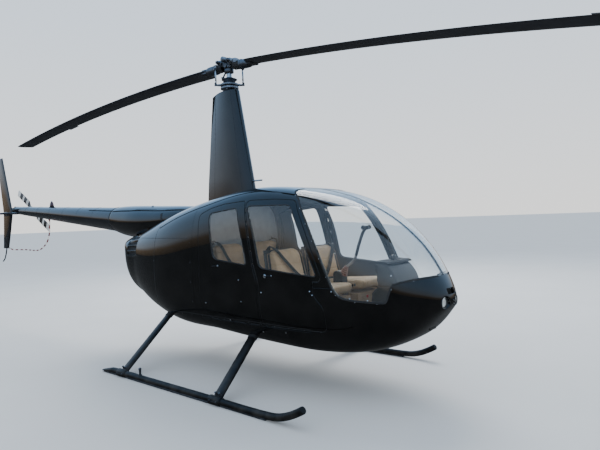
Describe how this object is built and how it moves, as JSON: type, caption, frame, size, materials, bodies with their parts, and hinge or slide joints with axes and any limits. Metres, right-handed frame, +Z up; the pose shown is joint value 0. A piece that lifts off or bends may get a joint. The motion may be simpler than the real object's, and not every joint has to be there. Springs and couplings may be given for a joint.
{
  "type": "light helicopter",
  "caption": "Light cabin helicopter with a teetering rotor on a tall faired mast, hinged doors, a tapered tail boom and skids.",
  "frame": {"origin": "on the ground, in the middle of the bounding box", "axes": "+X towards the nose, +Y to port, +Z up"},
  "size_m": [11.5921, 2.244, 3.352],
  "materials": {
    "gloss_black_paint": "gloss",
    "satin_black": "satin",
    "blade_paint": "satin",
    "clear_glass": "clear acrylic",
    "steel": "brushed",
    "dark_metal": "dull",
    "beige_leather": "soft grain",
    "cabin_trim": "matt",
    "lamp_glass": "clear over reflector",
    "beacon_glass": "red",
    "striped_paint": "red, white and black bands"
  },
  "bodies": {
    "airframe": {"windshield_right": "clear_glass", "windshield_left": "clear_glass", "cabin_frame": "gloss_black_paint", "belly_and_nose": "gloss_black_paint", "engine_cowl": "gloss_black_paint", "spine_fairing": "gloss_black_paint", "tail_boom": "gloss_black_paint", "mast_fairing": "gloss_black_paint", "swashplate_fixed": "dark_metal", "pitot_tube": "steel", "firewall": "cabin_trim", "cabin_floor": "cabin_trim", "seat_front_right": "beige_leather", "seat_front_left": "beige_leather", "seat_rear_right": "beige_leather", "seat_rear_left": "beige_leather", "instrument_console": "satin_black", "cyclic_stick": "satin_black", "engine_block": "dark_metal", "landing_lights": "lamp_glass", "skid_right": "gloss_black_paint", "skid_left": "gloss_black_paint", "strut_front_right": "gloss_black_paint", "strut_front_left": "gloss_black_paint", "strut_rear_right": "gloss_black_paint", "strut_rear_left": "gloss_black_paint", "tail_gearbox": "gloss_black_paint", "upper_fin": "gloss_black_paint", "lower_fin": "gloss_black_paint", "horizontal_stabiliser": "gloss_black_paint", "tail_guard": "striped_paint", "tail_skid": "dark_metal", "beacon": "beacon_glass"},
    "front_right_door": {"door_front_right": "gloss_black_paint", "door_glass_front_right": "clear_glass"},
    "front_left_door": {"door_front_left": "gloss_black_paint", "door_glass_front_left": "clear_glass"},
    "rear_right_door": {"door_rear_right": "gloss_black_paint", "door_glass_rear_right": "clear_glass"},
    "rear_left_door": {"door_rear_left": "gloss_black_paint", "door_glass_rear_left": "clear_glass"},
    "main_rotor": {"mast_shaft": "steel", "swashplate_rotating": "dark_metal", "rotor_hub": "dark_metal", "rotor_blade_forward": "blade_paint", "rotor_blade_aft": "blade_paint"},
    "tail_rotor": {"tail_rotor_hub": "dark_metal", "tail_rotor_blade_outer": "striped_paint", "tail_rotor_blade_inner": "striped_paint"}
  },
  "joints": [
    {"name": "main_rotor_spin", "type": "hinge", "parent": "airframe", "child": "main_rotor", "pos_m": [0.77, 0, 3.29], "axis": [0, 0, 1], "continuous": true},
    {"name": "tail_rotor_spin", "type": "hinge", "parent": "airframe", "child": "tail_rotor", "pos_m": [-5.12, 0.33, 1.905], "axis": [0, -1, 0], "continuous": true},
    {"name": "front_right_door_swing", "type": "hinge", "parent": "airframe", "child": "front_right_door", "pos_m": [2.435, -0.607, 0.8], "axis": [0, 0, 1], "range_deg": [0, 80]},
    {"name": "front_left_door_swing", "type": "hinge", "parent": "airframe", "child": "front_left_door", "pos_m": [2.435, 0.607, 0.8], "axis": [0, 0, -1], "range_deg": [0, 80]},
    {"name": "rear_right_door_swing", "type": "hinge", "parent": "airframe", "child": "rear_right_door", "pos_m": [1.71, -0.655, 0.8], "axis": [0, 0, 1], "range_deg": [0, 80]},
    {"name": "rear_left_door_swing", "type": "hinge", "parent": "airframe", "child": "rear_left_door", "pos_m": [1.71, 0.655, 0.8], "axis": [0, 0, -1], "range_deg": [0, 80]}
  ],
  "couplings": [
    {"joint": "tail_rotor_spin", "follows": "main_rotor_spin", "ratio": 5.95}
  ]
}
